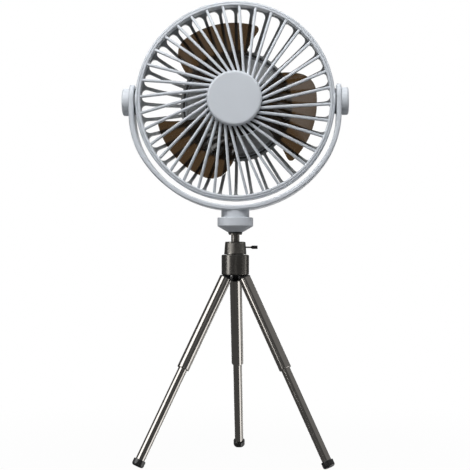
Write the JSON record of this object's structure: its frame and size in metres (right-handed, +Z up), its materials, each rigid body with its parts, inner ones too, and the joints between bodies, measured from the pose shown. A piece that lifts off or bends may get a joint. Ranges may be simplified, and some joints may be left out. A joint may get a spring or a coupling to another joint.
{
  "type": "tripod fan",
  "caption": "Battery fan with a swirled round grille in a U-shaped yoke, on a mini tripod with a ball head and telescopic legs.",
  "frame": {"origin": "on the floor, at the centre of the bounding box of the standing fan", "axes": "+Z up; the fan blows towards -Y; +X to the right seen from the front"},
  "size_m": [0.1956, 0.1458, 0.3957],
  "materials": {
    "shell": "satin",
    "smoked_blade": "smoked, translucent",
    "black_rubber": "matt",
    "black_plastic": "satin",
    "white_plastic": "natural",
    "black_nickel": "polished black nickel",
    "steel": "plated",
    "brass": "turned",
    "cell_wrap": "shrink wrap",
    "board": "solder mask"
  },
  "bodies": {
    "tripod_head": {"barrel": "black_nickel", "leg_hub": "black_plastic", "leg_pins": "steel"},
    "lock_collar": {"knurled_collar": "black_nickel", "lock_lever": "steel", "lever_tip": "black_plastic"},
    "ball_seat": {"ball_seat": "white_plastic"},
    "ball": {"ball_stud": "black_nickel", "rubber_washer": "black_rubber", "thread_insert": "brass", "yoke_collar": "shell", "swivel_screw": "steel", "swivel_washer": "steel"},
    "yoke": {"yoke": "shell"},
    "head": {"front_grille": "shell", "front_cap": "shell", "rear_grille": "shell", "motor_plate": "shell", "rear_cover": "shell", "motor_can": "steel", "shaft_bushes": "brass", "motor_screws": "steel", "battery_cells": "cell_wrap", "control_board": "board", "switch_block": "black_plastic", "charge_socket": "steel", "cover_screws": "steel", "pivot_cap_left": "shell", "pivot_cap_right": "shell", "friction_washers": "black_plastic"},
    "rotor": {"fan_blade": "smoked_blade", "blade_nut": "brass", "motor_shaft": "steel"},
    "speed_button": {"speed_button": "black_plastic"},
    "leg_left": {"leg_knuckle_left": "black_plastic", "leg_upper_left": "black_nickel"},
    "lower_left": {"leg_lower_left": "black_nickel", "slide_bush_left": "white_plastic", "foot_left": "black_rubber"},
    "leg_right": {"leg_knuckle_right": "black_plastic", "leg_upper_right": "black_nickel"},
    "lower_right": {"leg_lower_right": "black_nickel", "slide_bush_right": "white_plastic", "foot_right": "black_rubber"},
    "leg_rear": {"leg_knuckle_rear": "black_plastic", "leg_upper_rear": "black_nickel"},
    "lower_rear": {"leg_lower_rear": "black_nickel", "slide_bush_rear": "white_plastic", "foot_rear": "black_rubber"}
  },
  "joints": [
    {"name": "lock_turn", "type": "hinge", "parent": "tripod_head", "child": "lock_collar", "pos_m": [0, -0.02251, 0.18253], "axis": [0, 0, 1], "range_deg": [0, 60]},
    {"name": "ball_pan", "type": "hinge", "parent": "tripod_head", "child": "ball_seat", "pos_m": [0, -0.02251, 0.18253], "axis": [0, 0, 1], "continuous": true},
    {"name": "ball_lean", "type": "hinge", "parent": "ball_seat", "child": "ball", "pos_m": [0, -0.02251, 0.18253], "axis": [1, 0, 0], "range_deg": [-20, 20]},
    {"name": "yoke_swivel", "type": "hinge", "parent": "ball", "child": "yoke", "pos_m": [0, -0.02251, 0.20873], "axis": [0, 0, 1], "continuous": true},
    {"name": "head_tilt", "type": "hinge", "parent": "yoke", "child": "head", "pos_m": [0, -0.02251, 0.30948], "axis": [1, 0, 0], "range_deg": [-90, 90]},
    {"name": "fan_spin", "type": "hinge", "parent": "head", "child": "rotor", "pos_m": [0, -0.02251, 0.30948], "axis": [0, -1, 0], "continuous": true},
    {"name": "button_press", "type": "slide", "parent": "head", "child": "speed_button", "axis": [0, -1, 0], "range_m": [0, 0.0007], "stiffness_N_per_m": 1200},
    {"name": "fold_left", "type": "hinge", "parent": "tripod_head", "child": "leg_left", "pos_m": [-0.00589, -0.02591, 0.16143], "axis": [0.5, -0.866, 0], "range_deg": [0, 27.9]},
    {"name": "extend_left", "type": "slide", "parent": "leg_left", "child": "lower_left", "axis": [-0.4052, -0.234, -0.8838], "range_m": [-0.06, 0]},
    {"name": "fold_right", "type": "hinge", "parent": "tripod_head", "child": "leg_right", "pos_m": [0.00589, -0.02591, 0.16143], "axis": [0.5, 0.866, 0], "range_deg": [0, 27.9]},
    {"name": "extend_right", "type": "slide", "parent": "leg_right", "child": "lower_right", "axis": [0.4052, -0.234, -0.8838], "range_m": [-0.06, 0]},
    {"name": "fold_rear", "type": "hinge", "parent": "tripod_head", "child": "leg_rear", "pos_m": [0, -0.01571, 0.16143], "axis": [-1, 0, 0], "range_deg": [0, 27.9]},
    {"name": "extend_rear", "type": "slide", "parent": "leg_rear", "child": "lower_rear", "axis": [0, 0.4679, -0.8838], "range_m": [-0.06, 0]}
  ]
}
